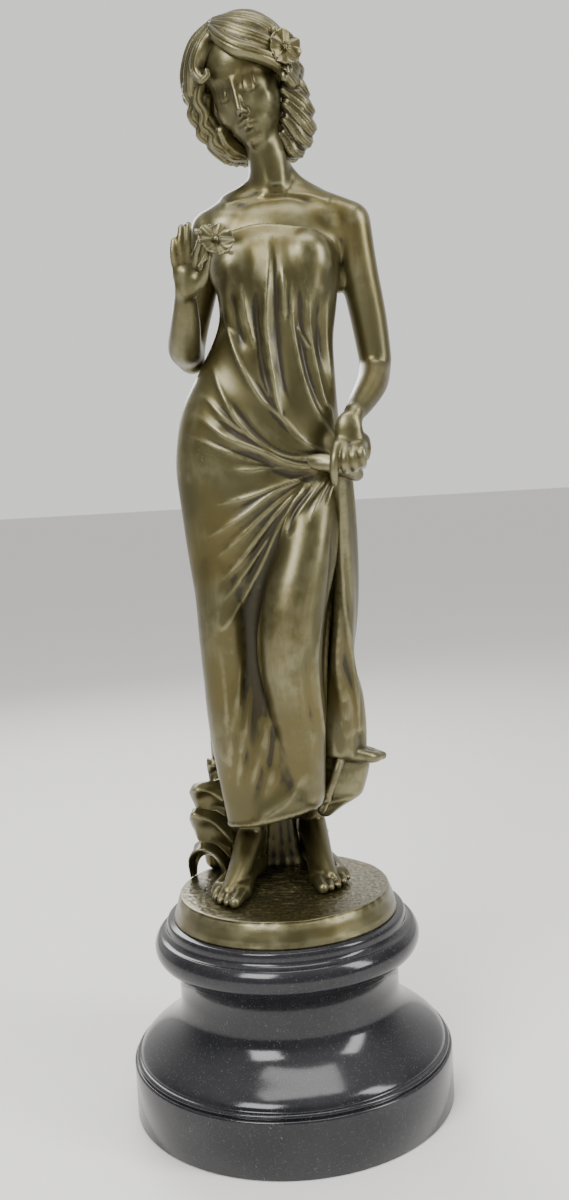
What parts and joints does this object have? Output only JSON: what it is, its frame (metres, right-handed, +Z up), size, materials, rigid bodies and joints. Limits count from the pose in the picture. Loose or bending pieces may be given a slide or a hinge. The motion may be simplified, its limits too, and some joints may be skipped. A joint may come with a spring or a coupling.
{
  "type": "bronze dancer statue",
  "caption": "Standing cast bronze dancer in a draped gown, holding a flower and gathering her skirt, on a round turned dark marble plinth.",
  "frame": {"origin": "centre of the marble plinth's underside", "axes": "+Z up, the dancer's front towards -Y, +X to the viewer's right"},
  "size_m": [0.16, 0.16, 0.5315],
  "materials": {
    "bronze": "olive-gold brown patina, darker in the recesses, rubbed paler on the crests",
    "black_marble": "polished near-black marble with a fine speckle"
  },
  "bodies": {
    "root": {"bronze_figure": "bronze", "marble_plinth": "black_marble"}
  },
  "joints": []
}
